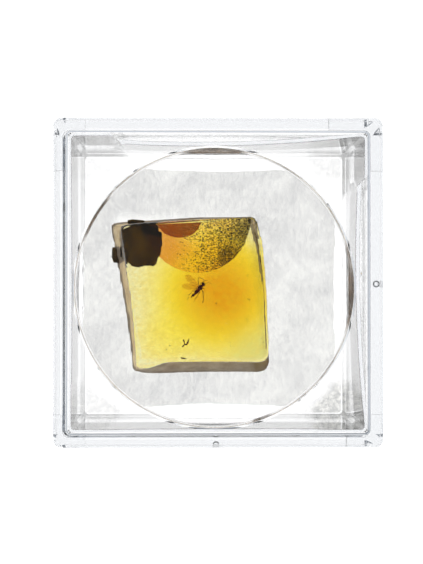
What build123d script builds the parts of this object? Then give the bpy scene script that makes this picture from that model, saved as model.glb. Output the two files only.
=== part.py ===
"""Clear display cube with a magnifier lid, holding a polished piece of amber.

Millimetres, +Z up. The origin is the centre of the underside, so the cube stands on z = 0.
+Y is the back of the cube and +X its right side.
"""

import os
from math import radians, sqrt, tan

from build123d import *

# ---------------------------------------------------------------- driving sizes of the cube
WIDTH = 32.0  # outside, both ways
CORNER_RADIUS = 0.8  # outside vertical corners
EDGE_ROUND = 0.4  # outside top and bottom edges
FINE_ROUND = 0.15  # edges that the mould leaves nearly sharp
RIM_ROUND = 0.17  # both edges of the spigot's rim
FLOOR_ROUND = 0.3  # inside corner between the spigot and the floor
PLATE_ROUND = 0.6  # inside corner between the lid's skirt and its plate
LID_TOP = 25.4  # flat top of the lid above the table
LID_WALL = 1.1
LID_PLATE = 1.5
PLINTH_HEIGHT = 7.0  # shoulder that the lid's skirt stands on
FLOOR_THICKNESS = 1.4
SPIGOT_WALL = 0.75  # foot of the upright wall that the lid slides over
RIM_WALL = 0.42  # the same wall at its rim
SKIRT_GAP = 0.12  # between the skirt and the spigot, each side
HEAD_GAP = 0.6  # between the spigot's rim and the lid's plate
FOOT_GAP = 0.03  # between the skirt's feet and the shoulder

# how far the middle of each spigot wall is set inwards, right, back, left and front
RIM_BOWS = (0.9, 1.0, 0.12, 0.12)
FLOOR_BOWS = (0.02, 0.02, 0.02, 0.02)
# a wall comes back out in a short step before its far corner, so that the corner grips the lid
STEP_START, STEP_END = 4.9, 4.2
STEP_DEPTH = 0.8  # share of the wall's bow

# fingernail notches in the skirt's lower edge, between a short and a long foot
NOTCH_HEIGHT = 1.2
FOOT_SHORT = 2.5
FOOT_LONG = 4.3

GATE_RADIUS = 0.35  # cut-off gates of the two mouldings
GATE_SINK = 0.05  # how far inside the wall's surface the tray's gate is centred
GATE_OFFSET = 0.9  # the tray's gate from the middle of its wall

LENS_CENTRE = (-0.4, -0.5)
LENS_RADIUS = 13.55  # rim of the lens
LENS_SEAT_GAP = 0.05  # between the rim and its bore in the lid
LENS_LEDGE = 0.25  # width of the ledge that the rim stands on
LENS_RIM = 0.9  # thickness of the rim
LENS_SPHERE = 50.0  # radius of both faces
LENS_EDGE = 0.12  # rounding of the rim
BORE_CHAMFER = 0.15

# low frame on the floor that keeps the specimen in the middle
WELL_Y = -0.3
WELL_HALF = 8.25
WELL_FRAME = 0.3
WELL_HEIGHT = 0.8
# square vee groove in the underside, just outside that frame
GROOVE_HALF = 8.8
GROOVE_WIDTH = 0.4
GROOVE_SLOPE = 60  # degrees of its sides from the underside
FILM_THICKNESS = 0.2
FILM_LEFT, FILM_RIGHT = -8.15, 7.7
FILM_FRONT, FILM_BACK = -7.7, 7.2

# ---------------------------------------------------------------- worked-out sizes of the cube
HALF = WIDTH / 2
SKIRT_INSIDE = HALF - LID_WALL
SPIGOT_HALF = SKIRT_INSIDE - SKIRT_GAP
CAVITY_HALF = SPIGOT_HALF - SPIGOT_WALL
RIM_INSIDE = SPIGOT_HALF - RIM_WALL
PLATE_UNDERSIDE = LID_TOP - LID_PLATE
SPIGOT_TOP = PLATE_UNDERSIDE - HEAD_GAP
SKIRT_BOTTOM = PLINTH_HEIGHT + FOOT_GAP
FLOOR_TOP = FLOOR_THICKNESS
FILM_TOP = FLOOR_TOP + FILM_THICKNESS
LENS_CLEAR = LENS_RADIUS - LENS_LEDGE  # radius of the lens's curved faces
LENS_RIM_BOTTOM = LID_TOP - LENS_RIM
GROOVE_DEPTH = GROOVE_WIDTH / 2 * tan(radians(GROOVE_SLOPE))
LENS_CAP = LENS_SPHERE - sqrt(LENS_SPHERE**2 - LENS_CLEAR**2)  # height of one curved face

# ---------------------------------------------------------------- driving sizes of the amber
AMBER_HEIGHT = 4.6
AMBER_CORNER = 0.4
AMBER_EDGE = 0.12
# corners of the lower and upper faces, anticlockwise from the front left
AMBER_LOWER = [(-5.2, -5.6), (-3.6, -5.8), (3.55, -5.75), (3.4, -0.6), (2.6, 4.1), (-6.6, 3.7)]
AMBER_UPPER = [(-5.5, -6.0), (-3.6, -5.6), (3.9, -5.6), (3.75, -0.6), (2.95, 4.8), (-6.7, 4.1)]
AMBER_TOP = FILM_TOP + AMBER_HEIGHT

# crumb of bark caught in the amber's back left corner, which stands a little proud of it
BARK_FRONT = [(-6.55, 3.3), (-6.6, 2.4), (-6.15, 1.35), (-5.2, 1.2), (-4.4, 1.6), (-3.8, 2.8), (-4.1, 3.8)]
BARK_BACK = [(-5.3, 4.1), (-6.3, 4.05)]
BARK_BOTTOM, BARK_TOP = AMBER_TOP - 2.2, AMBER_TOP - 0.2

# gnat, seen from above: tail, head and wing root
GNAT_HEIGHT = 4.2
GNAT_TAIL = (-1.74, -1.11)
GNAT_HEAD = (-0.75, -0.04)
GNAT_WING_ROOT = (-1.12, -0.36)
WING_TIPS = [(-2.1, 0.39), (-2.17, -0.54)]
WING_THICKNESS = 0.03
WING_WIDTH = 0.45
LEG_RADIUS = 0.02
# each leg leaves the chest, bends at the knee and ends at the foot
GNAT_CHEST = (-1.0, -0.3, GNAT_HEIGHT)
LEG_POINTS = [
    ((-0.78, -0.42, 4.1), (-0.66, -0.66, 3.8)),
    ((-0.88, -0.6, 4.0), (-1.07, -1.46, 3.7)),
    ((-1.2, -0.62, 4.0), (-1.66, -1.42, 3.7)),
    ((-0.72, -0.1, 4.1), (-0.46, -0.28, 3.8)),
    ((-1.3, -0.5, 4.0), (-1.95, -1.2, 3.7)),
    ((-0.85, 0.08, 4.1), (-1.2, 0.42, 3.8)),
]

# broken insect legs near the amber's front, as bent threads
FRAGMENT_RADIUS = 0.045
FRAGMENT_PATHS = [
    [(-2.25, -4.46, 4.6), (-2.12, -4.3, 4.6), (-2.2, -4.02, 4.6)],
    [(-2.12, -4.3, 4.6), (-1.98, -4.34, 4.6), (-1.84, -3.96, 4.6)],
    [(-2.3, -5.18, 3.6), (-2.15, -5.2, 3.6), (-1.95, -5.28, 3.6)],
]


def save(part, name):
    """Labels one finished piece and writes it as its own node."""
    part.label = name
    export_step(part, f"parts/{name}.step")
    print(f"{name}: {part.volume:.4f} mm3")


def bowed_square(half, bows, corner):
    """Rounded square whose sides bow inwards and step back out before their far corners."""
    with BuildSketch(mode=Mode.PRIVATE) as outline:
        with BuildLine():
            for side, bow in enumerate(bows):
                wall = Plane.XY.rotated((0, 0, 90 * side))
                start, end = wall.from_local_coords((half, -half)), wall.from_local_coords((half, half))
                middle = wall.from_local_coords((half - bow, 0))
                step_start = wall.from_local_coords((half - STEP_DEPTH * bow, half - STEP_START))
                step_end = wall.from_local_coords((half, half - STEP_END))
                ThreePointArc(start, middle, step_start)
                Polyline(step_start, step_end, end)
        make_face()
        corners = outline.vertices().sort_by(lambda vertex: abs(vertex.X) + abs(vertex.Y))[-4:]
        fillet(corners, corner)
    return outline.sketch


def polygon(points, corner):
    """Closed outline with straight sides and rounded corners."""
    with BuildSketch(mode=Mode.PRIVATE) as outline:
        with BuildLine():
            Polyline(points, close=True)
        make_face()
        fillet(outline.vertices(), corner)
    return outline.sketch


def thread(points, radius):
    """Thin bent rod through the points, one straight piece at a time with round joints."""
    for start, end in zip(points[:-1], points[1:]):
        run = Vector(end) - Vector(start)
        with BuildSketch(Plane(origin=start, z_dir=run)) as section:
            Circle(radius)
        extrude(section.sketch, amount=run.length)
    with Locations(*points):
        Sphere(radius)


os.makedirs("parts", exist_ok=True)

# ---------------------------------------------------------------- base tray
with BuildPart() as base_tray:
    with BuildSketch():
        RectangleRounded(WIDTH, WIDTH, CORNER_RADIUS)
    extrude(amount=PLINTH_HEIGHT)
    fillet(base_tray.faces().sort_by(Axis.Z)[0].edges(), EDGE_ROUND)
    fillet(base_tray.faces().sort_by(Axis.Z)[-1].edges(), FINE_ROUND)
    with BuildSketch(Plane.XY.offset(FLOOR_TOP)):
        add(bowed_square(SPIGOT_HALF, FLOOR_BOWS, CORNER_RADIUS))
    with BuildSketch(Plane.XY.offset(SPIGOT_TOP)):
        add(bowed_square(SPIGOT_HALF, RIM_BOWS, CORNER_RADIUS))
    loft(ruled=True)
    with Locations((SPIGOT_HALF - RIM_BOWS[0] - GATE_SINK, GATE_OFFSET, SPIGOT_TOP - 3 * GATE_RADIUS)):
        Sphere(GATE_RADIUS)
    with BuildSketch(Plane.XY.offset(FLOOR_TOP)):
        add(bowed_square(CAVITY_HALF, FLOOR_BOWS, CORNER_RADIUS / 2))
    with BuildSketch(Plane.XY.offset(SPIGOT_TOP)):
        add(bowed_square(RIM_INSIDE, RIM_BOWS, CORNER_RADIUS / 2))
    loft(ruled=True, mode=Mode.SUBTRACT)
    fillet(base_tray.edges().group_by(Axis.Z)[-1], RIM_ROUND)
    floor_face = base_tray.faces().filter_by(Plane.XY).filter_by_position(Axis.Z, FLOOR_TOP, FLOOR_TOP)
    fillet(floor_face.edges(), FLOOR_ROUND)
    with BuildSketch(Plane.XY.offset(FLOOR_TOP)), Locations((0, WELL_Y)):
        Rectangle(2 * (WELL_HALF + WELL_FRAME), 2 * (WELL_HALF + WELL_FRAME))
        Rectangle(2 * WELL_HALF, 2 * WELL_HALF, mode=Mode.SUBTRACT)
    extrude(amount=WELL_HEIGHT)
    frame_top = FLOOR_TOP + WELL_HEIGHT
    frame_face = base_tray.faces().filter_by(Plane.XY).filter_by_position(Axis.Z, frame_top, frame_top)
    fillet(frame_face.edges(), WELL_FRAME / 3)
    with BuildSketch(), Locations((0, WELL_Y)):
        Rectangle(2 * GROOVE_HALF + GROOVE_WIDTH, 2 * GROOVE_HALF + GROOVE_WIDTH)
    extrude(amount=GROOVE_DEPTH, taper=90 - GROOVE_SLOPE, mode=Mode.SUBTRACT)
    with BuildSketch(), Locations((0, WELL_Y)):
        Rectangle(2 * GROOVE_HALF - GROOVE_WIDTH, 2 * GROOVE_HALF - GROOVE_WIDTH)
    extrude(amount=GROOVE_DEPTH, taper=GROOVE_SLOPE - 90)
save(base_tray.part, "base_tray")

# ---------------------------------------------------------------- lid
with BuildPart() as lid_cover:
    with BuildSketch(Plane.XY.offset(SKIRT_BOTTOM)):
        RectangleRounded(WIDTH, WIDTH, CORNER_RADIUS)
    extrude(amount=LID_TOP - SKIRT_BOTTOM)
    fillet(lid_cover.faces().sort_by(Axis.Z)[-1].edges(), EDGE_ROUND)
    with BuildSketch(Plane.XY.offset(SKIRT_BOTTOM)):
        RectangleRounded(2 * SKIRT_INSIDE, 2 * SKIRT_INSIDE, PLATE_ROUND)
    extrude(amount=PLATE_UNDERSIDE - SKIRT_BOTTOM, mode=Mode.SUBTRACT)
    plate_face = lid_cover.faces().filter_by_position(Axis.Z, PLATE_UNDERSIDE, PLATE_UNDERSIDE)
    fillet(plate_face.edges(), PLATE_ROUND)
    with Locations((*LENS_CENTRE, LID_TOP)):
        CounterBoreHole(
            radius=LENS_CLEAR + LENS_SEAT_GAP,
            counter_bore_radius=LENS_RADIUS + LENS_SEAT_GAP,
            counter_bore_depth=LENS_RIM,
            depth=LID_PLATE,
        )
    bore_edge = lid_cover.edges().filter_by(GeomType.CIRCLE).group_by(Axis.Z)[-1]
    chamfer(bore_edge, BORE_CHAMFER)
    for angle, foot_start, foot_end in (
        (0, FOOT_SHORT, FOOT_LONG),
        (90, FOOT_LONG, FOOT_SHORT),
        (180, FOOT_LONG, FOOT_SHORT),
        (270, FOOT_SHORT, FOOT_SHORT),
    ):
        with BuildSketch(Plane.XY.rotated((0, 0, angle)).offset(SKIRT_BOTTOM)):
            with Locations((HALF - LID_WALL / 2, (foot_start - foot_end) / 2)):
                Rectangle(2 * LID_WALL, WIDTH - foot_start - foot_end)
        extrude(amount=NOTCH_HEIGHT, mode=Mode.SUBTRACT)
    gate_place, gate_height = HALF - LID_WALL / 2, SKIRT_BOTTOM + NOTCH_HEIGHT
    with Locations((gate_place, 0, gate_height), (0, -gate_place, gate_height)):
        Sphere(GATE_RADIUS)
save(lid_cover.part, "lid_cover")

# ---------------------------------------------------------------- lens
lens_section = Plane(origin=(*LENS_CENTRE, 0), x_dir=(1, 0, 0), z_dir=(0, -1, 0))
with BuildPart() as magnifier_lens:
    with BuildSketch(lens_section):
        with BuildLine():
            Polyline(
                (LENS_CLEAR, LID_TOP),
                (LENS_RADIUS, LID_TOP),
                (LENS_RADIUS, LENS_RIM_BOTTOM),
                (LENS_CLEAR, LENS_RIM_BOTTOM),
            )
            RadiusArc((LENS_CLEAR, LENS_RIM_BOTTOM), (0, LENS_RIM_BOTTOM - LENS_CAP), LENS_SPHERE)
            Line((0, LENS_RIM_BOTTOM - LENS_CAP), (0, LID_TOP + LENS_CAP))
            RadiusArc((0, LID_TOP + LENS_CAP), (LENS_CLEAR, LID_TOP), LENS_SPHERE)
        make_face()
    revolve(axis=Axis(lens_section.origin, (0, 0, 1)))
    outer_wall = magnifier_lens.faces().filter_by(GeomType.CYLINDER)
    fillet(outer_wall.edges().filter_by(GeomType.CIRCLE), LENS_EDGE)
save(magnifier_lens.part, "magnifier_lens")

# ---------------------------------------------------------------- film under the amber
with BuildPart() as liner_film:
    with BuildSketch(Plane.XY.offset(FLOOR_TOP)):
        with Locations(((FILM_LEFT + FILM_RIGHT) / 2, (FILM_FRONT + FILM_BACK) / 2)):
            Rectangle(FILM_RIGHT - FILM_LEFT, FILM_BACK - FILM_FRONT)
    extrude(amount=FILM_THICKNESS)
save(liner_film.part, "liner_film")

# ---------------------------------------------------------------- amber
with BuildPart() as amber_block:
    with BuildSketch(Plane.XY.offset(FILM_TOP)):
        add(polygon(AMBER_LOWER, AMBER_CORNER))
    with BuildSketch(Plane.XY.offset(AMBER_TOP)):
        add(polygon(AMBER_UPPER, AMBER_CORNER))
    loft(ruled=True)
    chamfer(amber_block.faces().sort_by(Axis.Z)[-1].edges(), AMBER_EDGE)
save(amber_block.part, "amber_block")

# ---------------------------------------------------------------- bark in the amber
with BuildPart() as bark_inclusion:
    with BuildSketch(Plane.XY.offset(BARK_BOTTOM)):
        with BuildLine():
            Spline(*BARK_FRONT, *BARK_BACK, periodic=True)
        make_face()
    extrude(amount=BARK_TOP - BARK_BOTTOM)
    fillet(bark_inclusion.edges().group_by(Axis.Z)[0], 0.3)
    fillet(bark_inclusion.edges().group_by(Axis.Z)[-1], 0.3)
save(bark_inclusion.part, "bark_inclusion")

# ---------------------------------------------------------------- gnat in the amber
along = Vector(*GNAT_HEAD, GNAT_HEIGHT) - Vector(*GNAT_TAIL, GNAT_HEIGHT)
length = along.length
gnat_axis = Plane(origin=(*GNAT_TAIL, GNAT_HEIGHT), x_dir=along, z_dir=(0, 0, 1))
with BuildPart() as gnat_body:
    with BuildSketch(gnat_axis):
        with BuildLine():
            Line((0, 0), (length, 0))
            Spline(
                (length, 0),
                (0.93 * length, 0.09),
                (0.84 * length, 0.05),
                (0.66 * length, 0.17),
                (0.5 * length, 0.08),
                (0.3 * length, 0.11),
                (0, 0),
            )
        make_face()
    revolve(axis=Axis(gnat_axis.origin, gnat_axis.x_dir))
save(gnat_body.part, "gnat_body")

with BuildPart() as gnat_wings:
    for lift, tip in enumerate(WING_TIPS):
        reach = Vector(*tip) - Vector(*GNAT_WING_ROOT)
        middle = (Vector(*tip) + Vector(*GNAT_WING_ROOT)) / 2
        wing_height = GNAT_HEIGHT + 0.12 + 0.12 * lift
        wing = Plane(origin=(middle.X, middle.Y, wing_height), x_dir=reach, z_dir=(0, 0, 1))
        with BuildSketch(wing):
            Ellipse(reach.length / 2, WING_WIDTH / 2)
        extrude(amount=WING_THICKNESS)
save(gnat_wings.part, "gnat_wings")

with BuildPart() as gnat_legs:
    for knee, foot in LEG_POINTS:
        thread([GNAT_CHEST, knee, foot], LEG_RADIUS)
save(gnat_legs.part, "gnat_legs")

with BuildPart() as insect_fragments:
    for path in FRAGMENT_PATHS:
        thread(path, FRAGMENT_RADIUS)
save(insect_fragments.part, "insect_fragments")
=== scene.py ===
"""Looks of the magnifier display cube, in metres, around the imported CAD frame."""

from math import cos, pi, radians, sin, sqrt

import bmesh
import bpy
from mathutils import Matrix, Vector
from mathutils import noise as field


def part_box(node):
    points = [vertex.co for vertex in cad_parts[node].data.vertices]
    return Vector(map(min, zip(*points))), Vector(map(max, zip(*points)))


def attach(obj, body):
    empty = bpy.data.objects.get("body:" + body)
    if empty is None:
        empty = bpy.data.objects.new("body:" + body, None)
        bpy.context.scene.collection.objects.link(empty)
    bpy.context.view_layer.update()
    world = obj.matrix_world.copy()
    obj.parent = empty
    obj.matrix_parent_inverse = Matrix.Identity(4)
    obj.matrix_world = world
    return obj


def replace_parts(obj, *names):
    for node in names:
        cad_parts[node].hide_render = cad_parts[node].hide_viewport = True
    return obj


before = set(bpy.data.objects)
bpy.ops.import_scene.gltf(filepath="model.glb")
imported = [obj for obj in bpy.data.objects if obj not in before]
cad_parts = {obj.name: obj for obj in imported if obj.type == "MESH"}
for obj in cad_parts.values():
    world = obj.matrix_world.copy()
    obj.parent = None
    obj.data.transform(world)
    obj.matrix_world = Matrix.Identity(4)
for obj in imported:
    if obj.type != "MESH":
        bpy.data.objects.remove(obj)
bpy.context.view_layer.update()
MM = 0.001

# ---------------------------------------------------------------- places taken from the frame
LID_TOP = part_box("lid_cover")[1].z
LENS_LOW, LENS_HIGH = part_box("magnifier_lens")
FILM_LOW, FILM_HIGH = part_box("liner_film")
AMBER_LOW, AMBER_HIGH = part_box("amber_block")
BARK_LOW, BARK_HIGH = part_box("bark_inclusion")
GNAT_LOW, GNAT_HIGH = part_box("gnat_body")
FLOOR_TOP = FILM_LOW.z
LENS_X = (LENS_LOW.x + LENS_HIGH.x) / 2
LENS_Y = (LENS_LOW.y + LENS_HIGH.y) / 2
LENS_RADIUS = (LENS_HIGH.x - LENS_LOW.x) / 2


# ---------------------------------------------------------------- node tools
class Signal:
    """A number or colour that varies over a surface: what one node hands to the next."""

    def __init__(self, tree, socket):
        self.tree = tree
        self.socket = socket

    def __add__(self, other):
        return calculate("ADD", self, other)

    def __sub__(self, other):
        return calculate("SUBTRACT", self, other)

    def __rsub__(self, other):
        return calculate("SUBTRACT", other, self)

    def __mul__(self, other):
        return calculate("MULTIPLY", self, other)

    def __abs__(self):
        return calculate("ABSOLUTE", self)

    def below(self, limit):
        """1 where this is less than the limit, and 0 elsewhere."""
        return calculate("LESS_THAN", self, limit)

    def at_least(self, other):
        """This, or the other value where that is larger."""
        return calculate("MAXIMUM", self, other)


def feed(socket, value):
    """Gives a node's input a signal, a number, or a colour of three numbers."""
    if isinstance(value, Signal):
        value.tree.links.new(value.socket, socket)
    elif socket.type == "RGBA":
        socket.default_value = (*value, 1)
    else:
        socket.default_value = value


def node(tree, kind, **values):
    """A new node with its inputs and settings given by name, where an underscore may stand for a space."""
    made = tree.nodes.new(kind)
    for key, value in values.items():
        socket = key.replace("_", " ")
        if socket in made.inputs:
            feed(made.inputs[socket], value)
        else:
            setattr(made, key, value)
    return made


def signal(tree, kind, output=0, **values):
    """One output of a new node."""
    return Signal(tree, node(tree, kind, **values).outputs[output])


def calculate(operation, *values):
    """Arithmetic on signals and numbers."""
    tree = next(value.tree for value in values if isinstance(value, Signal))
    made = node(tree, "ShaderNodeMath", operation=operation)
    for socket, value in zip(made.inputs, values):
        feed(socket, value)
    return Signal(tree, made.outputs[0])


def remap(value, low, high, to_low=0.0, to_high=1.0):
    """Smooth step of a value from one range to another."""
    made = node(value.tree, "ShaderNodeMapRange", interpolation_type="SMOOTHSTEP", Value=value)
    for name, number in (("From Min", low), ("From Max", high), ("To Min", to_low), ("To Max", to_high)):
        made.inputs[name].default_value = number
    return Signal(value.tree, made.outputs["Result"])


def place(tree, stretch=(1, 1, 1), turn=0.0):
    """Position in the object's own space, stretched along its axes and turned by some degrees."""
    position = signal(tree, "ShaderNodeTexCoord", "Object")
    return signal(tree, "ShaderNodeMapping", Vector=position, Scale=stretch, Rotation=(0, 0, radians(turn)))


def axes(tree):
    """The three coordinates of a position in the object's own space."""
    split = node(tree, "ShaderNodeSeparateXYZ", Vector=place(tree))
    return [Signal(tree, socket) for socket in split.outputs]


def noise(tree, scale, detail=4.0, roughness=0.5, distortion=0.0, stretch=(1, 1, 1), turn=0.0):
    """Noise over the object's own space; scale counts features per metre."""
    made = node(tree, "ShaderNodeTexNoise", Vector=place(tree, stretch, turn), Scale=scale, Detail=detail)
    made.inputs["Roughness"].default_value = roughness
    made.inputs["Distortion"].default_value = distortion
    return Signal(tree, made.outputs["Fac"])


def near(tree, point, inner, outer):
    """1 within the inner distance of a point seen from above, and 0 beyond the outer one, in millimetres."""
    away = node(tree, "ShaderNodeVectorMath", operation="DISTANCE")
    feed(away.inputs[0], place(tree, (1, 1, 0)))
    feed(away.inputs[1], (point[0] * MM, point[1] * MM, 0))
    return remap(Signal(tree, away.outputs["Value"]), inner * MM, outer * MM, 1.0, 0.0)


def dots(tree, scale, size, share):
    """1 inside round dots, at most one in each cell; share is the part of the cells that has one."""
    cells = node(tree, "ShaderNodeTexVoronoi", voronoi_dimensions="2D", Scale=scale, Vector=place(tree))
    chance = signal(tree, "ShaderNodeSeparateColor", Color=Signal(tree, cells.outputs["Color"]))
    return chance.below(share) * remap(Signal(tree, cells.outputs["Distance"]), 0.6 * size, size, 1.0, 0.0)


def upright(tree, low, high):
    """1 where a face's normal rises less than low, as on walls, and 0 where it rises more than high."""
    normal = signal(tree, "ShaderNodeNewGeometry", "Normal")
    return remap(abs(signal(tree, "ShaderNodeSeparateXYZ", "Z", Vector=normal)), low, high, 1.0, 0.0)


def mix(factor, first, second):
    """Blend of two colours, each a signal or (r, g, b)."""
    made = node(factor.tree, "ShaderNodeMix", data_type="RGBA", Factor=factor)
    for socket, colour in zip(made.inputs[6:8], (first, second)):
        feed(socket, colour)
    return Signal(factor.tree, made.outputs[2])


def ramp(source, *stops):
    """Colour ramp over a value, from (position, (r, g, b)) stops."""
    made = node(source.tree, "ShaderNodeValToRGB", Fac=source)
    elements = made.color_ramp.elements
    while len(elements) < len(stops):
        elements.new(0.5)
    for element, (position, colour) in zip(elements, stops):
        element.position = position
        element.color = (*colour, 1)
    return Signal(source.tree, made.outputs["Color"])


# ---------------------------------------------------------------- shaders
def new_material(name):
    """A material with no node but its output, and its node tree."""
    material = bpy.data.materials.new(name)
    material.use_nodes = True
    tree = material.node_tree
    tree.nodes.clear()
    tree.nodes.new("ShaderNodeOutputMaterial")
    return material, tree


def set_output(tree, shader, part="Surface"):
    """Makes a shader the surface, or the volume, of its material."""
    tree.links.new(shader.outputs[0], tree.nodes["Material Output"].inputs[part])


def bump(shader, height, distance, strength=1.0):
    """Fine relief on a shader from a varying height; distance in millimetres."""
    relief = signal(height.tree, "ShaderNodeBump", Strength=strength, Distance=distance * MM, Height=height)
    feed(shader.inputs["Normal"], relief)


def glass(tree, ior):
    """Clear solid that bends the light."""
    shader = node(tree, "ShaderNodeBsdfPrincipled", Base_Color=(1, 1, 1), Roughness=0.0, IOR=ior)
    shader.inputs["Transmission Weight"].default_value = 1.0
    return shader


def matt(tree, colour, roughness=0.8, shine=0.5):
    """Layer that hides what is under it."""
    shader = node(tree, "ShaderNodeBsdfPrincipled", Base_Color=colour, Roughness=roughness)
    shader.inputs["Specular IOR Level"].default_value = shine
    return shader


def tinted_clear(tree, colour):
    """Layer that only colours the light passing straight through."""
    return node(tree, "ShaderNodeBsdfTransparent", Color=colour)


def overlay(tree, factor, base, cover):
    """One shader laid over another by a factor."""
    made = node(tree, "ShaderNodeMixShader", Fac=factor)
    tree.links.new(base.outputs[0], made.inputs[1])
    tree.links.new(cover.outputs[0], made.inputs[2])
    return made


# ---------------------------------------------------------------- clear plastic
PLASTIC_IOR = 1.49
PLASTIC_TINT = (0.78, 0.795, 0.815)
PLASTIC_DENSITY = 42.0
TRAY_HAZE, LID_HAZE = 0.08, 0.012  # roughness of rubbed upright faces

# painted shade: the floor's top is tinted a mottled grey in its corners, where its distances from the two
# middle lines add up to this
CORNER_START, CORNER_FULL = 26 * MM, 28.5 * MM
CORNER_SHADE_DARK, CORNER_SHADE_LIGHT = (0.3, 0.305, 0.3), (0.8, 0.79, 0.74)

GROOVE_HALF = 8.8 * MM  # middle of the square groove in the tray's underside
GROOVE_WIDTH = 0.4 * MM
GROOVE_TOP = 0.4 * MM
GROOVE_Y = -0.3 * MM  # centre of the groove's square
GROOVE_SHADE_BAND = 0.75 * MM  # width of the painted shade along the outside of the groove
# painted shade: a dark matt brown that stands for the groove's dark shadow line
GROOVE_SHADE = (0.3, 0.27, 0.22)

LENS_FLAT = 0.25  # millimetres of flat rim around the curved faces
SCRATCH_TURNS = (20, -50)  # degrees
# arcs of painted dark reflection at the lens's edge: direction in degrees, and how far from there each is
# full and ends
EDGE_REFLECTION_ARCS = [(90, 2.2, 3.9), (0, 3.0, 5.0), (150, 1.6, 3.2), (-70, 0.3, 1.4)]
EDGE_REFLECTION_LEAST = 0.12  # share of it that there is all round the rim
EDGE_REFLECTION_DEPTH = 0.52 * MM  # how far the back and right arcs reach in from the lens's edge
EDGE_REFLECTION_FADE = 0.1 * MM
# colours of the light through the painted dark reflection, where it is deep and where it is faint, and of its
# matt layer
EDGE_REFLECTION_DEEP, EDGE_REFLECTION_FAINT, EDGE_REFLECTION_MATT = (0.16, 0.11, 0.07), (0.45, 0.33, 0.23), (0.34, 0.29, 0.22)


def clear_plastic(name):
    """Clear moulding, faintly blue-grey where the light runs a long way through it."""
    material, tree = new_material(name)
    shader = glass(tree, PLASTIC_IOR)
    set_output(tree, shader)
    depth = node(tree, "ShaderNodeVolumeAbsorption", Color=PLASTIC_TINT, Density=PLASTIC_DENSITY)
    set_output(tree, depth, "Volume")
    return material, tree, shader


def rub_walls(tree, shader, haze):
    """Soft haze on upright faces, from sliding the lid, and the slow waves of a moulding."""
    streaks = remap(noise(tree, 250.0, 2.0, stretch=(1, 1, 0.12)), 0.3, 0.7, 0.4 * haze, haze)
    feed(shader.inputs["Roughness"], upright(tree, 0.2, 0.5) * streaks)
    bump(shader, noise(tree, 60.0, 1.0), 0.05, 0.1)


def shade_floor_corners(tree, shader):
    """Painted shade in the floor's corners: a mottled grey tint, weakest at the back left."""
    x, y, z = axes(tree)
    patch = remap(abs(x) + abs(y) + noise(tree, 500.0) * (6 * MM), CORNER_START, CORNER_FULL)
    level = abs(z - FLOOR_TOP).below(0.1 * MM)
    share = remap(x - y, -8 * MM, 20 * MM, 0.3, 1.0)
    mottled_shade = ramp(noise(tree, 1500.0, 6.0, 0.7), (0.42, CORNER_SHADE_DARK), (0.68, CORNER_SHADE_LIGHT))
    feed(shader.inputs["Base Color"], mix(patch * level * share, (1, 1, 1), mottled_shade))


def groove_shade_amount(tree):
    """How much painted shade the underside gets: a dark matt band along the outside of its groove, mostly at
    the back and right.
    """
    x, y, z = axes(tree)
    reach = abs(x).at_least(abs(y - GROOVE_Y))
    inside = remap(reach, GROOVE_HALF - GROOVE_WIDTH / 2, GROOVE_HALF)
    outside = remap(reach, GROOVE_HALF + GROOVE_SHADE_BAND, GROOVE_HALF + 1.3 * GROOVE_SHADE_BAND, 1.0, 0.0)
    back_right = remap(x + y, -3 * MM, 2 * MM, 0.25, 1.0)
    # patchiness of the painted shade
    worn = remap(noise(tree, 700.0, 5.0, 0.7), 0.25, 0.6, 0.35, 0.85)
    return inside * outside * z.below(GROOVE_TOP) * back_right * worn


def tray_plastic():
    """Clear plastic with hazed walls, painted shade in the floor's corners, and painted shade in a dark band
    along the groove underneath.
    """
    material, tree, shader = clear_plastic("tray_plastic")
    rub_walls(tree, shader, TRAY_HAZE)
    shade_floor_corners(tree, shader)
    set_output(tree, overlay(tree, groove_shade_amount(tree), shader, matt(tree, GROOVE_SHADE)))
    return material


def lid_plastic():
    """Clear plastic with a slight haze on its skirt."""
    material, tree, shader = clear_plastic("lid_plastic")
    rub_walls(tree, shader, LID_HAZE)
    return material


def edge_reflection_amount(tree):
    """How much painted dark reflection the lens gets: on its flat rim, and just inside it at the back and
    right.
    """
    middle, reach = (LENS_X / MM, LENS_Y / MM), LENS_RADIUS / MM
    arcs = EDGE_REFLECTION_LEAST
    for angle, inner, outer in EDGE_REFLECTION_ARCS:
        spot = (middle[0] + reach * cos(radians(angle)), middle[1] + reach * sin(radians(angle)))
        arcs = near(tree, spot, inner, outer).at_least(arcs)
    reflected = 1.0 - near(tree, middle, reach - LENS_FLAT - 0.1, reach - LENS_FLAT + 0.05)
    x, y = axes(tree)[:2]
    for along, edge in ((y, LENS_HIGH.y), (x, LENS_HIGH.x)):
        reflected = reflected.at_least(remap(along, edge - EDGE_REFLECTION_DEPTH - EDGE_REFLECTION_FADE, edge - EDGE_REFLECTION_DEPTH))
    # patchiness of the painted reflection
    worn = remap(noise(tree, 400.0, 3.0), 0.3, 0.6, 0.35, 0.75)
    return reflected * arcs * worn


def lens_plastic():
    """Clear plastic with hair scratches from being wiped, and a painted dark brown reflection at its edge."""
    material, tree, shader = clear_plastic("lens_plastic")
    first, second = [noise(tree, 2500.0, 2.0, 0.5, 0.4, (1, 0.03, 1), turn) for turn in SCRATCH_TURNS]
    bump(shader, first + second, 0.01, 0.1)
    # painted reflection: a see-through dark brown laid partly under a matt layer
    stain_and_reflection = tinted_clear(tree, ramp(noise(tree, 600.0, 3.0), (0.35, EDGE_REFLECTION_DEEP), (0.65, EDGE_REFLECTION_FAINT)))
    painted_reflection = overlay(tree, 0.55, matt(tree, EDGE_REFLECTION_MATT, 0.9, 0.0), stain_and_reflection)
    set_output(tree, overlay(tree, edge_reflection_amount(tree), shader, painted_reflection))
    return material


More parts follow.
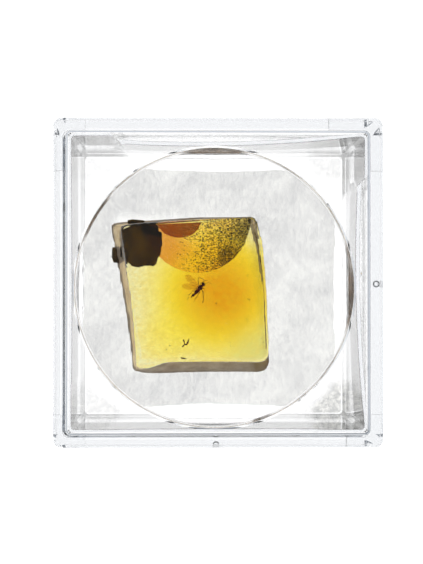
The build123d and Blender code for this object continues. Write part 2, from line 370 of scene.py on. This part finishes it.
# ---------------------------------------------------------------- film material
# the third tint is painted light: the film clearer under the amber so that the amber looks brighter
FILM_DARK, FILM_LIGHT, FILM_UNDER_AMBER_LIGHT = (0.83, 0.83, 0.83), (0.99, 0.99, 0.975), (0.97, 0.97, 0.96)
FILM_VEIL = (0.85, 0.85, 0.84)
VEIL_SHARE = 0.12
AMBER_LEAN = 0.12  # how far the amber leans to the left for each step towards its back


def under_amber(tree):
    """1 under the amber, where the film is painted clearer as painted light, fading to 0 round it."""
    middle, half = (AMBER_LOW + AMBER_HIGH) / 2, (AMBER_HIGH - AMBER_LOW) / 2
    x, y = axes(tree)[:2]
    leaning = x + (y - middle.y) * AMBER_LEAN
    brightened = 1.0
    for value, centre, reach in ((leaning, middle.x, half.x - 0.5 * MM), (y, middle.y, half.y)):
        brightened = remap(abs(value - centre), reach - 0.9 * MM, reach, 1.0, 0.0) * brightened
    return brightened


def film_material():
    """Thin fibrous sheet that lets most of the light through, with painted light: clearest under the amber,
    so that the amber looks brighter.
    """
    material, tree = new_material("liner_film")
    cloud = noise(tree, 350.0, 5.0, 0.6, 0.8)
    fibre = noise(tree, 4200.0, 5.0, 0.75, 1.0, (1, 0.4, 1), 12)
    tint = ramp(cloud * 0.45 + fibre * 0.55, (0.38, FILM_DARK), (0.62, FILM_LIGHT))
    # painted light: more light let through under the amber
    brightened = under_amber(tree)
    clear = tinted_clear(tree, mix(brightened, tint, FILM_UNDER_AMBER_LIGHT))
    veil = node(tree, "ShaderNodeBsdfTranslucent", Color=FILM_VEIL)
    set_output(tree, overlay(tree, (1.0 - brightened) * VEIL_SHARE, clear, veil))
    return material


# ---------------------------------------------------------------- amber's shape and material
# corners of the polished top and of the base, anticlockwise from the front left, in millimetres
AMBER_TOP_CORNERS = [
    (-5.5, -5.95), (-4.6, -6.0), (-3.5, -5.62), (3.88, -5.62), (3.75, -0.6), (3.42, 2.9),
    (2.92, 4.8), (-1.05, 4.62), (-5.4, 4.28), (-6.68, 4.06), (-6.32, 1.0), (-5.9, -1.8),
]
AMBER_BASE_CORNERS = [
    (-5.15, -5.55), (-4.4, -5.75), (-3.4, -5.8), (3.64, -5.75), (3.53, -0.6), (3.02, 2.4),
    (2.36, 4.4), (-1.2, 4.38), (-5.3, 4.02), (-6.55, 3.85), (-6.2, 1.0), (-5.7, -1.8),
]
# rounding of each corner
AMBER_RADII = [0.3, 0.3, 0.4, 0.85, 0.8, 0.6, 0.5, 0.8, 0.5, 0.45, 0.9, 0.9]
# how far the polished bevel reaches in from each corner of the top
AMBER_BEVEL = [0.5, 0.4, 0.16, 0.16, 0.12, 0.2, 0.26, 0.07, 0.06, 0.1, 0.12, 0.14]
AMBER_MIDDLE = Vector((-1.3, -0.7))
BEVEL_HEIGHT = 0.22
BEVEL_STEPS = (0.0, 0.3, 0.6, 0.85, 1.0)  # shares of that height
BASE_GAP = 0.03  # keeps the base clear of the film
WORN_EDGE = 0.12  # width and height of the worn lower edge
CORNER_REACH = 1.3  # a corner moves this much further than the sides beside it

AMBER_IOR = 1.54
AMBER_PALE, AMBER_YELLOW, AMBER_ORANGE = (0.89, 0.87, 0.54), (0.98, 0.79, 0.03), (0.77, 0.31, 0.0)
# the last colour is painted light: a pale tint on the bevel and front edge for the light from the lit field
# passing through them
AMBER_GREEN, AMBER_BEVEL_LIGHT = (0.7, 0.66, 0.16), (0.86, 0.87, 0.72)
AMBER_MOTTLE, AMBER_SPECK = (0.8, 0.55, 0.02), (0.12, 0.05, 0.01)
AMBER_GLOW = ((0.4, -0.6), 0.3, 4.6)  # place of the orange glow, where it is full and where it ends
# painted light: the front edge turns pale between these two places
FRONT_EDGE_LIGHT = (-5.7 * MM, -5.25 * MM)
FLAT_TOP = AMBER_HIGH.z - 0.012 * MM
BEVEL_FOOT = AMBER_HIGH.z - BEVEL_HEIGHT * MM
# coloured zones in the pale resin: place, where each is full and where it ends, strength and colour
AMBER_ZONES = [
    ((0.2, -0.6), 2.6, 7.2, 1.0, AMBER_YELLOW),
    ((3.2, -5.0), 0.5, 3.4, 0.6, AMBER_GREEN),
    ((3.4, 4.2), 0.4, 2.4, 0.8, AMBER_PALE),
    ((-3.6, -4.0), 0.6, 2.8, 0.55, AMBER_YELLOW),
]
CRUST_SHADED = ((0.35, (0.4, 0.31, 0.22)), (0.65, (0.66, 0.54, 0.4)))  # grain of the unpolished front, darkened as painted shade
CRUST_LIT = ((0.35, (0.74, 0.56, 0.38)), (0.65, (0.95, 0.78, 0.58)))  # painted light: lighter grain at the left and back
CRUST_DEEP_SHADE = (0.2, 0.11, 0.03)  # painted shade: dark brown at the right
CRUST_LEFT, CRUST_BACK, CRUST_RIGHT = (-5.2 * MM, -4.7 * MM), (3.4 * MM, 3.9 * MM), (2.2 * MM, 2.9 * MM)
CRUST_SHARE = 0.9
CRUST_CLEAR, LIT_SIDE_CLEARER = 0.13, 0.42  # clear share of the crust, and how much more at the left and back, as painted light


def amber_colour(tree, polished):
    """Pale at the left and front, yellow in the middle, with an orange glow, and painted light: a pale tint
    on the bevel and the front edge.
    """
    y, z = axes(tree)[1:]
    colour = AMBER_PALE
    for point, inner, outer, strength, tint in AMBER_ZONES:
        colour = mix(near(tree, point, inner, outer) * strength, colour, tint)
    glow = near(tree, *AMBER_GLOW) * remap(noise(tree, 260.0, 3.0), 0.2, 0.6, 0.8, 1.0)
    colour = mix(glow, colour, AMBER_ORANGE)
    # painted light on the front edge and the polished bevel
    colour = mix(remap(y, *FRONT_EDGE_LIGHT, 0.9, 0.0), colour, AMBER_BEVEL_LIGHT)
    colour = mix(polished * z.below(FLAT_TOP), colour, AMBER_BEVEL_LIGHT)
    mottle = remap(noise(tree, 3000.0, 5.0, 0.8), 0.42, 0.58, 0.0, 0.35)
    colour = mix(mottle, colour, AMBER_MOTTLE)
    return mix(dots(tree, 900.0, 0.04, 0.2), colour, AMBER_SPECK)


def amber_crust(tree):
    """Matt skin of the unpolished sides, with painted light and shade: clearer and lighter at the left and
    back, dark brown at the right.
    """
    x, y = axes(tree)[:2]
    grain = noise(tree, 1100.0, 5.0, 0.65, 0.0, (1, 1, 0.4))
    light = ramp(grain, *CRUST_LIT)
    # painted light on the left and back faces, painted shade on the right face
    lit_sides = remap(x, *CRUST_LEFT, 1.0, 0.0).at_least(remap(y, *CRUST_BACK))
    tone = mix(lit_sides, ramp(grain, *CRUST_SHADED), light)
    tone = mix(remap(x, *CRUST_RIGHT), tone, CRUST_DEEP_SHADE)
    clear_share = lit_sides * LIT_SIDE_CLEARER + CRUST_CLEAR
    return overlay(tree, clear_share, matt(tree, tone, 0.8, 0.0), tinted_clear(tree, light))


def amber_material():
    """Clear fossil resin with a polished top and bevel over matt sides."""
    material, tree = new_material("amber")
    polished = remap(axes(tree)[2], BEVEL_FOOT - 0.1 * MM, BEVEL_FOOT - 0.04 * MM)
    shader = glass(tree, AMBER_IOR)
    feed(shader.inputs["Base Color"], amber_colour(tree, polished))
    bump(shader, noise(tree, 300.0, 3.0), 0.02, 0.15)
    sides = upright(tree, 0.35, 0.6) * (1.0 - polished)
    set_output(tree, overlay(tree, sides * CRUST_SHARE, shader, amber_crust(tree)))
    return material


# ---------------------------------------------------------------- materials inside the amber
FLAW_ORANGE, FLAW_OLIVE = (0.88, 0.56, 0.3), (0.5, 0.46, 0.3)
# places in the speckled flaw, each with the distances where it is full and where it ends
FLAW_LEFT, FLAW_PATCH, FLAW_RIM = ((-3.9, 2.6), 0.8, 3.0), ((1.0, 1.8), 0.4, 1.0), ((2.4, 3.6), 0.3, 1.7)
FLAW_DOTS = [(9500.0, (0.12, 0.1, 0.05)), (14000.0, (0.3, 0.24, 0.1))]  # cells per metre, and colour
DOT_SIZE = 0.45  # of a cell
CHITIN = ((0.35, (0.05, 0.015, 0.004)), (0.65, (0.16, 0.05, 0.012)))
CHITIN_CLEAR = ((0.4, (0.3, 0.08, 0.01)), (0.6, (0.55, 0.2, 0.03)))
BARK = ((0.35, (0.03, 0.02, 0.006)), (0.65, (0.13, 0.085, 0.022)))
BARK_CLEAR = ((0.35, (0.16, 0.11, 0.03)), (0.65, (0.45, 0.33, 0.11)))
WING = ((0.05, (0.75, 0.6, 0.42)), (0.2, (0.96, 0.92, 0.84)))


def speckled(tree, stain_and_reflection):
    """Orange at the left and olive at the back right, with dark dots that crowd to the right."""
    drift = axes(tree)[0] + noise(tree, 900.0, 3.0) * (1.6 * MM)
    patch = near(tree, *FLAW_PATCH)
    crowding = remap(drift, -2.0 * MM, 2.2 * MM, 0.0, 0.85) + patch * 0.4
    olive = near(tree, *FLAW_RIM) * 0.7
    stain_and_reflection = mix(near(tree, *FLAW_LEFT) * 0.7, stain_and_reflection, FLAW_ORANGE)
    stain_and_reflection = mix(olive.at_least(patch * 0.6), stain_and_reflection, FLAW_OLIVE)
    for scale, dark in FLAW_DOTS:
        stain_and_reflection = mix(dots(tree, scale, DOT_SIZE, crowding), stain_and_reflection, dark)
    return stain_and_reflection


def flaw_material(name, tint, with_speckles):
    """Thin glassy flaw inside the amber that deepens its colour."""
    material, tree = new_material(name)
    stain_and_reflection = mix(noise(tree, 900.0, 4.0), tint, tuple(min(1.0, 1.25 * value) for value in tint))
    if with_speckles:
        stain_and_reflection = speckled(tree, stain_and_reflection)
    set_output(tree, tinted_clear(tree, stain_and_reflection))
    return material


def insect_material():
    """Dark brown chitin, brown-orange where it is thin."""
    material, tree = new_material("insect")
    grain = noise(tree, 6000.0, 4.0)
    shell = matt(tree, ramp(grain, *CHITIN), 0.5, 0.1)
    bump(shell, grain, 0.01)
    set_output(tree, overlay(tree, 0.5, tinted_clear(tree, ramp(grain, *CHITIN_CLEAR)), shell))
    return material


def bark_material():
    """Matt crumbling bark that lets a little brown light through."""
    material, tree = new_material("bark")
    grain = noise(tree, 1900.0, 6.0, 0.7, 0.5, (1, 0.5, 1))
    crumb = matt(tree, ramp(grain, *BARK), 0.8, 0.1)
    bump(crumb, grain, 0.05)
    set_output(tree, overlay(tree, 0.4, tinted_clear(tree, ramp(grain, *BARK_CLEAR)), crumb))
    return material


def wing_material():
    """Membrane with fine veins, almost as clear as the resin around it."""
    material, tree = new_material("wings")
    across = place(tree, turn=35)
    waves = node(tree, "ShaderNodeTexWave", Vector=across, Scale=2200.0, Distortion=3.0, Detail=2.0)
    set_output(tree, tinted_clear(tree, ramp(Signal(tree, waves.outputs["Fac"]), *WING)))
    return material


# ---------------------------------------------------------------- mesh tools
def put(name, material):
    """Gives a CAD node one material on all its slots."""
    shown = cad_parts[name]
    shown.data.materials.clear()
    shown.data.materials.append(material)


def finish_mesh(mesh, name, material, body, sharp=35):
    """Turns a bmesh into a piece that rides on a body, with edges over the sharp angle left crisp."""
    bmesh.ops.recalc_face_normals(mesh, faces=mesh.faces)
    for face in mesh.faces:
        face.smooth = True
    for edge in mesh.edges:
        edge.smooth = edge.calc_face_angle(0) < radians(sharp)
    data = bpy.data.meshes.new(name)
    mesh.to_mesh(data)
    mesh.free()
    data.materials.append(material)
    piece = bpy.data.objects.new(name, data)
    bpy.context.scene.collection.objects.link(piece)
    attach(piece, body)
    return piece


def bridge(mesh, rings):
    """Side faces between rings of points, where a ring of one point is a tip."""
    for inner, outer in zip(rings[:-1], rings[1:]):
        count = max(len(inner), len(outer))
        for k in range(count):
            here = (inner[k % len(inner)], outer[k % len(outer)])
            n = (k + 1) % count
            beyond = (outer[n % len(outer)], inner[n % len(inner)])
            mesh.faces.new(list(dict.fromkeys(here + beyond)))


def round_angles(count):
    """Evenly spaced angles once round a circle."""
    return [2 * pi * k / count for k in range(count)]


def turned(mesh, profile, centre, turns):
    """Solid of revolution about an upright axis, from (radius, height) points."""
    rings = []
    for r, z in profile:
        angles = round_angles(turns if r else 1)
        rings.append([mesh.verts.new((centre[0] + r * cos(a), centre[1] + r * sin(a), z)) for a in angles])
    bridge(mesh, rings)


def rounded(corners, radii, steps=6):
    """Closed outline with each corner replaced by a curve that starts and ends a radius away from it."""
    outline = []
    count = len(corners)
    for k in range(count):
        before, corner, after = (Vector(corners[(k + shift) % count]) for shift in (-1, 0, 1))
        start = corner + (before - corner).normalized() * radii[k]
        end = corner + (after - corner).normalized() * radii[k]
        for i in range(steps + 1):
            t = i / steps
            outline.append(start * (1 - t) ** 2 + corner * 2 * t * (1 - t) + end * t**2)
    return outline


def limb(mesh, points, radii, sides=10):
    """Closed tube along a path of points, in millimetres, with its own radius at each point."""
    rings = [[mesh.verts.new(points[0] * MM)]]
    for k, (point, radius) in enumerate(zip(points, radii)):
        way = (points[min(k + 1, len(points) - 1)] - points[max(k - 1, 0)]).normalized()
        side = way.cross(Vector((0, 0, 1))).normalized()
        up = side.cross(way)
        ring = []
        for a in round_angles(sides):
            ring.append(mesh.verts.new((point + (side * cos(a) + up * sin(a)) * radius) * MM))
        rings.append(ring)
    rings.append([mesh.verts.new(points[-1] * MM)])
    bridge(mesh, rings)


# ---------------------------------------------------------------- lens
LENS_EDGE = 0.12 * MM  # rounding of the rim
LENS_THICK = 0.9  # millimetres
RIM_CLEARANCE = 0.03  # between the rim and the ledge it stands on
LENS_TURNS = 192
FACE_STEPS = 48
EDGE_STEPS = 12


def lens_piece():
    """The lens turned at a fine step: two spherical faces on a flat-rimmed disc."""
    low, high = LID_TOP - (LENS_THICK - RIM_CLEARANCE) * MM, LID_TOP
    rim, edge = LENS_RADIUS, LENS_EDGE
    clear = rim - LENS_FLAT * MM
    cap = LENS_HIGH.z - LID_TOP
    sphere = (clear**2 + cap**2) / (2 * cap)
    face = []
    for i in range(FACE_STEPS + 1):
        r = clear * i / FACE_STEPS
        face.append((r, sqrt(sphere**2 - r**2) - (sphere - cap)))
    turns = [radians(90 * k / EDGE_STEPS) for k in range(EDGE_STEPS + 1)]
    profile = [(r, high + h) for r, h in face]
    profile += [(rim - edge + edge * sin(a), high - edge + edge * cos(a)) for a in turns]
    profile += [(rim - edge + edge * cos(a), low + edge - edge * sin(a)) for a in turns]
    profile += [(r, low - h) for r, h in reversed(face)]
    mesh = bmesh.new()
    turned(mesh, profile, (LENS_X, LENS_Y), LENS_TURNS)
    piece = finish_mesh(mesh, "lens", lens_plastic(), "lid", 10)
    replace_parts(piece, "magnifier_lens")


# ---------------------------------------------------------------- film
FILM_CELLS = 80  # each way
FILM_RAGGED = 0.06 * MM
FILM_WAVE = 0.02 * MM
WAVE_SCALE = 3 * MM
UNDER_GAP, TOP_GAP = 0.03 * MM, 0.04 * MM  # from the CAD sheet's faces, so that the wave stays inside it


def film_rows(mesh, z):
    """Rows of points over one face of the sheet."""
    rows = []
    for j in range(FILM_CELLS + 1):
        row = []
        for i in range(FILM_CELLS + 1):
            u, v = i / FILM_CELLS, j / FILM_CELLS
            x = FILM_LOW.x + (FILM_HIGH.x - FILM_LOW.x) * u
            y = FILM_LOW.y + (FILM_HIGH.y - FILM_LOW.y) * v
            ragged = FILM_RAGGED * (1 + field.noise(Vector((x, y, 0)) / MM))
            x += ragged * (1 - 2 * u)
            y += ragged * (1 - 2 * v)
            wave = FILM_WAVE * field.noise(Vector((x, y, 1)) / WAVE_SCALE)
            row.append(mesh.verts.new((x, y, z + wave)))
        rows.append(row)
    return rows


def film_piece():
    """Thin sheet with a soft wave and slightly ragged edges."""
    mesh = bmesh.new()
    loops = []
    for z in (FILM_LOW.z + UNDER_GAP, FILM_HIGH.z - TOP_GAP):
        rows = film_rows(mesh, z)
        for front, back in zip(rows[:-1], rows[1:]):
            for i in range(FILM_CELLS):
                mesh.faces.new((front[i], front[i + 1], back[i + 1], back[i]))
        right = [row[-1] for row in rows]
        left = [row[0] for row in rows]
        loops.append(rows[0][:-1] + right[:-1] + rows[-1][:0:-1] + left[:0:-1])
    bridge(mesh, loops)
    piece = finish_mesh(mesh, "film_sheet", film_material(), "tray")
    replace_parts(piece, "liner_film")


# ---------------------------------------------------------------- amber and its flaws
def inset(corners, reach):
    """The corners moved in towards the middle of the block by their own reach."""
    moved = []
    for corner, distance in zip(corners, reach):
        corner = Vector(corner)
        moved.append(corner + (AMBER_MIDDLE - corner).normalized() * distance * CORNER_REACH)
    return moved


def amber_piece():
    """Slab with ruled sides, a polished bevel round its top and a worn lower edge."""
    bottom, top = AMBER_LOW.z + BASE_GAP * MM, AMBER_HIGH.z
    worn = inset(AMBER_BASE_CORNERS, [WORN_EDGE] * len(AMBER_BASE_CORNERS))
    levels = [(worn, bottom), (AMBER_BASE_CORNERS, bottom + WORN_EDGE * MM)]
    for t in BEVEL_STEPS:
        reach = [width * (1 - sqrt(1 - t**2)) for width in AMBER_BEVEL]
        levels.append((inset(AMBER_TOP_CORNERS, reach), top - BEVEL_HEIGHT * MM * (1 - t)))
    mesh = bmesh.new()
    rings = []
    for corners, z in levels:
        outline = rounded(corners, AMBER_RADII)
        rings.append([mesh.verts.new((p.x * MM, p.y * MM, z)) for p in outline])
    bridge(mesh, rings)
    mesh.faces.new(rings[0])
    mesh.faces.new(rings[-1])
    piece = finish_mesh(mesh, "amber", amber_material(), "specimen", 14)
    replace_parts(piece, "amber_block")


FLOW_TINT, SMALL_FLOW_TINT = (0.95, 0.8, 0.6), (0.52, 0.34, 0.22)
FLAW_POINTS = 72
# section of a flaw: share of the way from its middle to its rim, and height there in millimetres
FLAW_SECTION = [(0.0, 0.05), (0.5, 0.04), (1.0, 0.0), (0.5, -0.02), (0.0, -0.03)]
MIDDLE_SHIFT = 0.3  # share of the radius that the section's middle keeps from the cut


def flaw_piece(name, centre, radii, height, cut, tint, with_speckles=False):
    """Coin-shaped flaw in the amber, cut off where it meets the back face, y = cut[0] + cut[1] x."""
    mesh = bmesh.new()
    rim = []
    for a in round_angles(FLAW_POINTS):
        x, y = centre[0] + radii[0] * cos(a), centre[1] + radii[1] * sin(a)
        rim.append((x, min(y, cut[0] + cut[1] * x)))
    middle = (centre[0], min(centre[1], cut[0] + cut[1] * centre[0]) - MIDDLE_SHIFT * radii[1])
    rings = []
    for share, lift in FLAW_SECTION:
        points = rim if share else rim[:1]
        ring = []
        for x, y in points:
            px, py = middle[0] + (x - middle[0]) * share, middle[1] + (y - middle[1]) * share
            ring.append(mesh.verts.new((px * MM, py * MM, (height + lift) * MM)))
        rings.append(ring)
    bridge(mesh, rings)
    finish_mesh(mesh, name, flaw_material(name, tint, with_speckles), "specimen")


# ---------------------------------------------------------------- bark
LUMP_CORNERS = 1.12  # how far a lump's corners may stand out beyond a ball
LUMP_SIZE, LUMP_ROUGHNESS, LUMP_GRAIN = 0.95, 0.1, 2.2


def bark_lumps():
    """Middle and half size of the main lump and of the four crumbs round it."""
    middle, half = (BARK_LOW + BARK_HIGH) / 2, (BARK_HIGH - BARK_LOW) / 2
    left, right, back = BARK_LOW.x, BARK_HIGH.x, BARK_HIGH.y
    trimmed = Vector((0.04 * MM, 0, 0))
    low = AMBER_LOW.z + 0.5 * MM
    return [
        (middle + trimmed, half - trimmed),
        (Vector((right - 0.75 * MM, back - 0.35 * MM, middle.z)), Vector((0.6, 0.4, 0.5)) * MM),
        (Vector((right - 0.25 * MM, back - 0.7 * MM, middle.z)), Vector((0.3, 0.2, 0.2)) * MM),
        (Vector((left + 0.4 * MM, middle.y - 0.8 * MM, low)), Vector((0.42, 0.55, 0.4)) * MM),
        (Vector((left + 1.2 * MM, back + 0.05 * MM, middle.z)), Vector((0.6, 0.2, 0.4)) * MM),
    ]


def bark_piece():
    """A lump of bark with a broken outline and crumbs round it, two of them proud of the amber's sides."""
    mesh = bmesh.new()
    for seed, (centre, size) in enumerate(bark_lumps()):
        lump = bmesh.ops.create_icosphere(mesh, subdivisions=5, radius=1.0)
        for vert in lump["verts"]:
            way = vert.co.normalized()
            square = 1 / (abs(way.x) ** 3 + abs(way.y) ** 3 + abs(way.z) ** 3) ** (1 / 3)
            grain = field.fractal(way * LUMP_GRAIN + Vector((7 * seed, 0, 0)), 1.0, 2.0, 5)
            rough = LUMP_SIZE + LUMP_ROUGHNESS * grain
            reach = Vector([way[i] * size[i] for i in range(3)])
            vert.co = centre + reach * min(square, LUMP_CORNERS) * rough
    piece = finish_mesh(mesh, "bark", bark_material(), "specimen", 60)
    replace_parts(piece, "bark_inclusion")


# ---------------------------------------------------------------- gnat
GNAT_TAIL = Vector((GNAT_LOW.x, GNAT_LOW.y, (GNAT_LOW.z + GNAT_HIGH.z) / 2)) / MM
GNAT_REACH = Vector((GNAT_HIGH.x - GNAT_LOW.x, GNAT_HIGH.y - GNAT_LOW.y, 0)) / MM
GNAT_GIRTH = 1.3
# share of the way from tail to head, and radius there for a girth of one
GNAT_BODY = [
    (0.04, 0.015), (0.1, 0.035), (0.2, 0.05), (0.23, 0.06), (0.31, 0.065), (0.34, 0.08), (0.42, 0.095),
    (0.45, 0.105), (0.52, 0.1), (0.57, 0.065), (0.61, 0.1), (0.68, 0.14), (0.76, 0.135), (0.81, 0.07),
    (0.84, 0.065), (0.88, 0.105), (0.93, 0.12), (0.98, 0.09), (1.0, 0.03),
]
# each path runs along the body, aside from it to its left, and up, as shares of the body's length
GNAT_LEGS = [
    ((0.7, -0.05, -0.03), (0.66, -0.22, -0.08), (0.36, -0.52, -0.2), (0.2, -0.6, -0.22)),
    ((0.74, -0.05, -0.03), (0.82, -0.18, -0.08), (0.72, -0.3, -0.2), (0.62, -0.36, -0.22)),
    ((0.64, -0.05, -0.03), (0.5, -0.12, -0.08), (0.14, -0.2, -0.2), (0.02, -0.22, -0.22)),
    ((0.7, 0.05, -0.03), (0.78, 0.2, -0.08), (0.92, 0.34, -0.2), (1.04, 0.4, -0.22)),
    ((0.74, 0.05, -0.03), (0.88, 0.12, -0.08), (1.1, 0.06, -0.2), (1.2, -0.02, -0.22)),
    ((0.64, 0.05, -0.03), (0.48, 0.14, -0.08), (0.1, 0.16, -0.2), (-0.14, 0.05, -0.22)),
]
GNAT_FEELERS = [
    ((0.98, 0.03, 0.03), (1.1, 0.18, 0.06), (1.02, 0.42, 0.08)),
    ((0.98, -0.03, 0.03), (1.16, -0.1, 0.06), (1.2, -0.3, 0.08)),
]
# root, tip and half width in millimetres
GNAT_WINGS = [((0.66, 0.06, 0.1), (0.68, 0.92, 0.16), 0.3), ((0.64, 0.06, 0.07), (0.2, 0.7, 0.1), 0.26)]
LEG_RADII, FEELER_RADII, VEIN_RADII = (0.03, 0.02, 0.015, 0.01), (0.014, 0.012, 0.008), (0.012, 0.009, 0.006)
WING_LIFT = 0.006  # half the thickness of a wing
WING_POINTS = 40
WING_ROOT, WING_SPREAD = 0.45, 0.65  # share of the half width near the root, and how much it grows to the tip
VEIN_SPREADS = (-0.55, -0.2, 0.15, 0.5)  # of the half width
VEIN_STOPS = (0.02, 0.5, 0.93)  # of the wing's length


def on_gnat(along, aside, up):
    """Point near the gnat, in millimetres."""
    left = Vector((-GNAT_REACH.y, GNAT_REACH.x, 0))
    return GNAT_TAIL + GNAT_REACH * along + left * aside + Vector((0, 0, up * GNAT_REACH.length))


def gnat_wing(mesh, root, tip, width):
    """Thin plate, broadest beyond its middle, with four raised veins."""
    reach = tip - root
    across = reach.cross(Vector((0, 0, 1))).normalized()
    plates = []
    for lift in (WING_LIFT, -WING_LIFT):
        ring = []
        for a in round_angles(WING_POINTS):
            share = (1 - cos(a)) / 2
            point = root + reach * share + across * (width * sin(a) * (WING_ROOT + WING_SPREAD * share))
            ring.append(mesh.verts.new((point + Vector((0, 0, lift))) * MM))
        plates.append(ring)
        mesh.faces.new(ring)
    bridge(mesh, plates)
    for spread in VEIN_SPREADS:
        ends = [root + reach * share + across * (width * spread * sin(pi * share)) for share in VEIN_STOPS]
        limb(mesh, ends, VEIN_RADII, 6)


def gnat_pieces():
    """The gnat's body with its feelers, its six jointed legs and its two veined wings."""
    body = bmesh.new()
    spine = [on_gnat(share, 0, 0) for share, radius in GNAT_BODY]
    limb(body, spine, [GNAT_GIRTH * radius for share, radius in GNAT_BODY], 16)
    for path in GNAT_FEELERS:
        limb(body, [on_gnat(*point) for point in path], FEELER_RADII)
    legs = bmesh.new()
    for path in GNAT_LEGS:
        limb(legs, [on_gnat(*point) for point in path], LEG_RADII)
    wings = bmesh.new()
    for root, tip, width in GNAT_WINGS:
        gnat_wing(wings, on_gnat(*root), on_gnat(*tip), width)
    chitin = insect_material()
    for mesh, name, material, slot, stands_for in (
        (body, "gnat_figure", chitin, "insect", "gnat_body"),
        (legs, "gnat_jointed_legs", chitin, "insect", "gnat_legs"),
        (wings, "gnat_veined_wings", wing_material(), "insect_wing", "gnat_wings"),
    ):
        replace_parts(finish_mesh(mesh, name, material, "specimen", 50), stands_for)
    put("insect_fragments", chitin)


# ---------------------------------------------------------------- stage, light and camera
FIELD_LEFT, FIELD_RIGHT, FIELD_FRONT, FIELD_BACK = -0.033, 0.0206, -0.033, 0.033
FIELD_SOFT = 0.006  # width of the lit field's soft edge
FIELD_GLOW = 1.3
TABLE_HALF = 1.5
TABLE_DROP = 0.05 * MM  # keeps the table clear of the tray's underside
PALE_FRONT, PALE_BACK = (0.36, 0.385, 0.415), (0.55, 0.58, 0.62)  # the table beyond the lit field
PALE_FROM, PALE_TO = -0.12, 0.05  # front to back
FRONT_SHADE, SIDE_GREY, BACK_GREY = (0.1, 0.115, 0.14), (0.34, 0.375, 0.42), (0.48, 0.52, 0.57)
LEFT_LIGHT = (0.62, 0.65, 0.68)
ROOM_REACH = 0.9
CEILING = (0.09, 0.088, 0.085)
CEILING_START, CEILING_FULL = 0.3, 0.95  # height of a direction, from 0 at the horizon to 1 overhead

VIEW_HEIGHT = 54.55 * MM  # seen from top to bottom of the picture at the lid's top
DISTANCE = 0.175
SENSOR = 36.0
EYE_X, EYE_Y = -3.8 * MM, -2.3 * MM
AIM_X, AIM_Y = -0.67 * MM, 0.05 * MM  # on the lid's top
NEAR_LIMIT = 0.005
BOUNCES, GLOSSY_BOUNCES = 24, 12


def light_table():
    """Plain pale surface with an evenly lit field under the cube."""
    mesh = bmesh.new()
    bmesh.ops.create_grid(mesh, x_segments=1, y_segments=1, size=TABLE_HALF)
    data = bpy.data.meshes.new("light_table")
    mesh.to_mesh(data)
    mesh.free()
    table = bpy.data.objects.new("light_table", data)
    bpy.context.scene.collection.objects.link(table)
    material, tree = new_material("light_table")
    x, y = axes(tree)[:2]
    outside = 0.0
    for value, edge in ((x, FIELD_LEFT), (x, FIELD_RIGHT), (y, FIELD_FRONT), (y, FIELD_BACK)):
        beyond = edge + (FIELD_SOFT if edge > 0 else -FIELD_SOFT)
        outside = remap(value, edge, beyond).at_least(outside)
    pale = ramp(remap(y, PALE_FROM, PALE_TO), (0.0, PALE_FRONT), (1.0, PALE_BACK))
    tone = mix(outside, (1, 1, 1), pale)
    set_output(tree, node(tree, "ShaderNodeEmission", Strength=FIELD_GLOW, Color=tone))
    data.materials.append(material)
    table.location.z = -TABLE_DROP


def soft_room():
    """Room light: darkest in front, lighter behind and lightest at the left, under a dim ceiling."""
    world = bpy.data.worlds.new("soft_room")
    bpy.context.scene.world = world
    world.use_nodes = True
    tree = world.node_tree
    way = node(tree, "ShaderNodeSeparateXYZ", Vector=signal(tree, "ShaderNodeTexCoord", "Generated"))
    x, y, z = [Signal(tree, socket) for socket in way.outputs]
    depth = remap(y, -ROOM_REACH, ROOM_REACH)
    tone = ramp(depth, (0.0, FRONT_SHADE), (0.45, SIDE_GREY), (1.0, BACK_GREY))
    around = mix(remap(x, -ROOM_REACH, 0.3 * ROOM_REACH, 0.75, 0.0), tone, LEFT_LIGHT)
    tint = mix(remap(z, CEILING_START, CEILING_FULL), around, CEILING)
    feed(tree.nodes["Background"].inputs["Color"], tint)


def add_camera():
    """Looks down on the lens from a hand's length away, a little left and front of it."""
    data = bpy.data.cameras.new("camera")
    camera = bpy.data.objects.new("camera", data)
    bpy.context.scene.collection.objects.link(camera)
    bpy.context.scene.camera = camera
    data.sensor_width = SENSOR
    data.lens = SENSOR * DISTANCE / VIEW_HEIGHT
    data.clip_start = NEAR_LIMIT
    camera.location = (EYE_X, EYE_Y, LID_TOP + DISTANCE)
    look = (Vector((AIM_X, AIM_Y, LID_TOP)) - camera.location).normalized()
    right = look.cross(Vector((0, 1, 0))).normalized()
    camera.rotation_euler = Matrix((right, right.cross(look), -look)).transposed().to_euler()


def set_light_paths():
    """Enough bounces for light to get through every clear wall."""
    scene = bpy.context.scene
    scene.cycles.max_bounces = BOUNCES
    scene.cycles.transmission_bounces = BOUNCES
    scene.cycles.transparent_max_bounces = BOUNCES
    scene.cycles.glossy_bounces = GLOSSY_BOUNCES
    scene.view_settings.view_transform = "Standard"


# ---------------------------------------------------------------- the whole cube
put("base_tray", tray_plastic())
put("lid_cover", lid_plastic())
lens_piece()
film_piece()
amber_piece()
bark_piece()
gnat_pieces()
flaw_piece("flow_disc", (-1.2, 4.4), (3.7, 3.7), 3.9, (4.34, 0.05), FLOW_TINT, True)
flaw_piece("small_flow_disc", (-2.5, 4.4), (1.55, 1.2), 4.3, (4.33, 0.05), SMALL_FLOW_TINT)
light_table()
soft_room()
add_camera()
set_light_paths()
